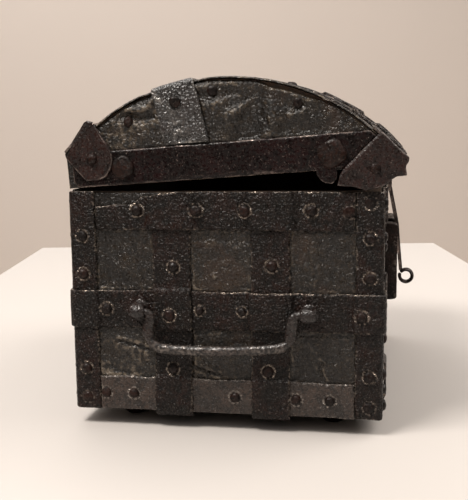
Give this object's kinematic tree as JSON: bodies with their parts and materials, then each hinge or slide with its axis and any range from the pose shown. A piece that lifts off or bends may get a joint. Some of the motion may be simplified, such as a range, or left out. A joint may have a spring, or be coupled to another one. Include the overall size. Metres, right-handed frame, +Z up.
{
  "type": "donation box",
  "caption": "Small iron-bound wooden coffer with a hinged domed lid, coin slot, hasp lock and drop handles on both ends.",
  "frame": {"origin": "middle of the object's footprint, on the surface that it stands on", "axes": "+Z up; -Y is the front, with the lock and hasp; +Y is the back, with the hinges; +X and -X are the ends with the handles"},
  "size_m": [0.1942, 0.1488, 0.1473],
  "materials": {
    "wood": "dark oak, dry and unvarnished",
    "leather": "old hide, cracked and crusted, matt to dull satin",
    "iron": "hammered wrought iron, brown-black, waxed, bright on worn edges",
    "worn_iron": "hammered wrought iron, polished by handling",
    "lock_steel": "filed steel, oiled"
  },
  "bodies": {
    "box": {"bottom_board": "wood", "front_board": "wood", "back_board": "wood", "left_end_board": "wood", "right_end_board": "wood", "body_leather": "leather", "corner_iron_front_left": "iron", "corner_iron_front_right": "iron", "corner_iron_back_left": "iron", "corner_iron_back_right": "iron", "rim_strap_front": "iron", "rim_strap_back": "iron", "rim_strap_left": "iron", "rim_strap_right": "iron", "waist_band": "iron", "base_strap_front": "iron", "base_strap_back": "iron", "base_strap_left": "iron", "base_strap_right": "iron", "long_strap_front": "iron", "long_strap_back": "iron", "cross_strap_left": "iron", "cross_strap_right": "iron", "front_rivets": "worn_iron", "back_rivets": "worn_iron", "left_end_rivets": "worn_iron", "right_end_rivets": "worn_iron", "feet": "worn_iron", "left_handle_eyes": "worn_iron", "right_handle_eyes": "worn_iron", "lock_plate": "iron", "lock_case": "worn_iron", "bolt_keep": "worn_iron", "bolt_guides": "lock_steel", "lock_spring": "lock_steel", "key_pin": "lock_steel", "lock_rivets": "worn_iron", "hinge_pins": "worn_iron"},
    "lid": {"lid_crown": "wood", "lid_left_end": "wood", "lid_right_end": "wood", "lid_front_rail": "wood", "lid_back_rail": "wood", "lid_leather": "leather", "lid_foot_strap_left": "iron", "lid_foot_strap_right": "iron", "lid_eave_front": "iron", "lid_eave_back": "iron", "lid_long_strap_front": "iron", "lid_long_strap_back": "iron", "lid_hinge_left": "iron", "lid_hinge_right": "iron", "lid_rivets": "worn_iron", "slot_plate": "worn_iron", "hasp_hinge_plate": "iron", "hasp_pin": "worn_iron"},
    "hasp": {"hasp": "worn_iron"},
    "bolt": {"lock_bolt": "lock_steel"},
    "left_bail": {"left_handle": "worn_iron"},
    "right_bail": {"right_handle": "worn_iron"}
  },
  "joints": [
    {"name": "lid_hinge", "type": "hinge", "parent": "box", "child": "lid", "pos_m": [0, 0.0723, 0.0997], "axis": [-1, 0, 0], "range_deg": [-3.9, 100]},
    {"name": "hasp_swing", "type": "hinge", "parent": "lid", "child": "hasp", "pos_m": [0, -0.06243, 0.10969], "axis": [-1, 0, 0], "range_deg": [0, 80]},
    {"name": "bolt_slide", "type": "slide", "parent": "box", "child": "bolt", "axis": [-1, 0, 0], "range_m": [0, 0.016]},
    {"name": "left_handle_swing", "type": "hinge", "parent": "box", "child": "left_bail", "pos_m": [-0.0938, 0, 0.0505], "axis": [0, 1, 0], "range_deg": [0, 165]},
    {"name": "right_handle_swing", "type": "hinge", "parent": "box", "child": "right_bail", "pos_m": [0.0938, 0, 0.0505], "axis": [0, -1, 0], "range_deg": [0, 165]}
  ]
}
